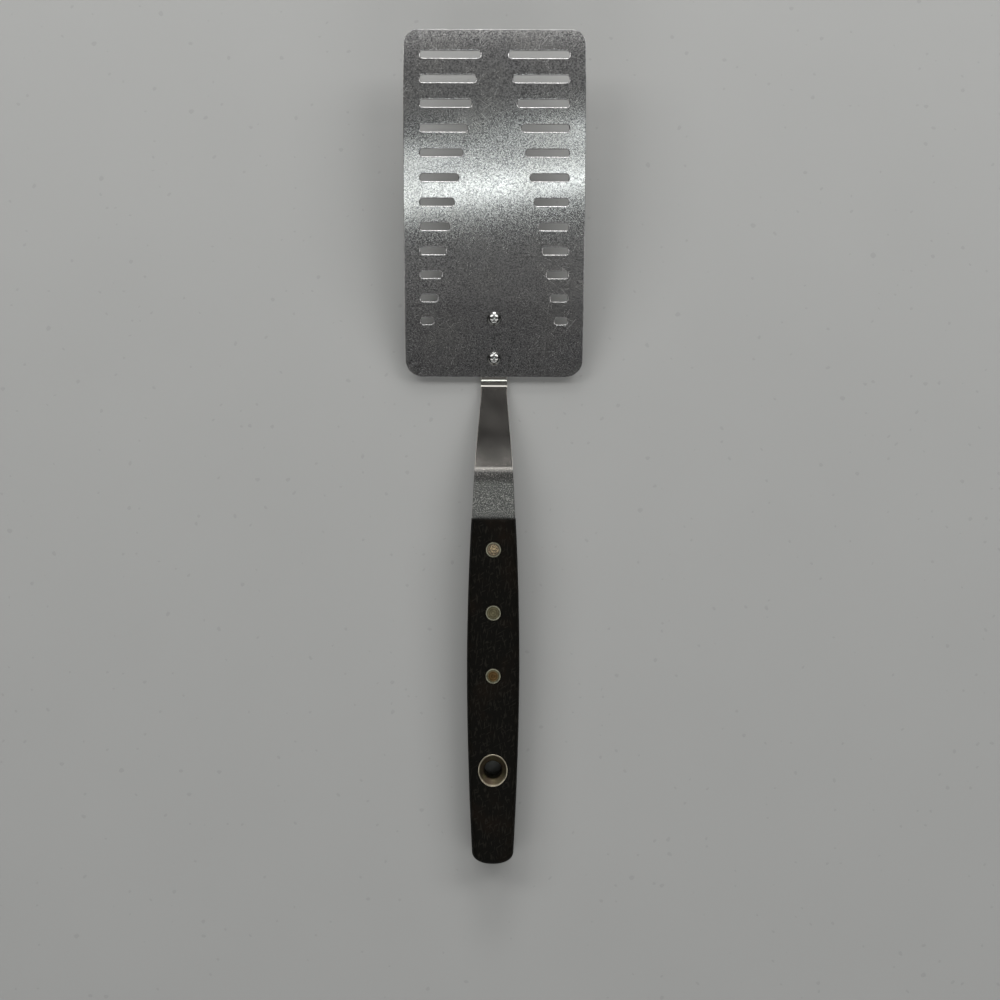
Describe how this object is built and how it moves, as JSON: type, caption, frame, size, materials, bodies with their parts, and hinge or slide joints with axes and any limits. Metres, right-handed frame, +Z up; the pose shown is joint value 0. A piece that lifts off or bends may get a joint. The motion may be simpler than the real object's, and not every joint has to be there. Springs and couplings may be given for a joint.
{
  "type": "slotted spatula",
  "caption": "Slotted spatula with a bowed steel blade, a bent riveted shank and a full-tang wooden handle with a brass-lined hanging hole.",
  "frame": {"origin": "on the table, under the middle of the box round the whole spatula as it lies with the blade's bow upwards", "axes": "+Y from the handle's end towards the blade's front edge, +Z up from the table, +X across the blade"},
  "size_m": [0.0702, 0.3241, 0.0328],
  "materials": {
    "blade_steel": "brushed lengthwise, with fine use scratches",
    "shank_steel": "satin, a little darker than the blade",
    "rivet_steel": "polished domes",
    "handle_wood": "worn, almost black, open grain along the handle",
    "rivet_brass": "ground flush, dulled and scratched",
    "eyelet_brass": "dulled, brighter at the lip"
  },
  "bodies": {
    "root": {"blade": "blade_steel", "shank": "shank_steel", "blade_rivet_rear": "rivet_steel", "blade_rivet_front": "rivet_steel", "scale_top": "handle_wood", "scale_bottom": "handle_wood", "handle_cap_front": "rivet_brass", "handle_cap_middle": "rivet_brass", "handle_cap_rear": "rivet_brass", "handle_post_front": "rivet_brass", "handle_post_middle": "rivet_brass", "handle_post_rear": "rivet_brass", "eyelet": "eyelet_brass"}
  },
  "joints": []
}
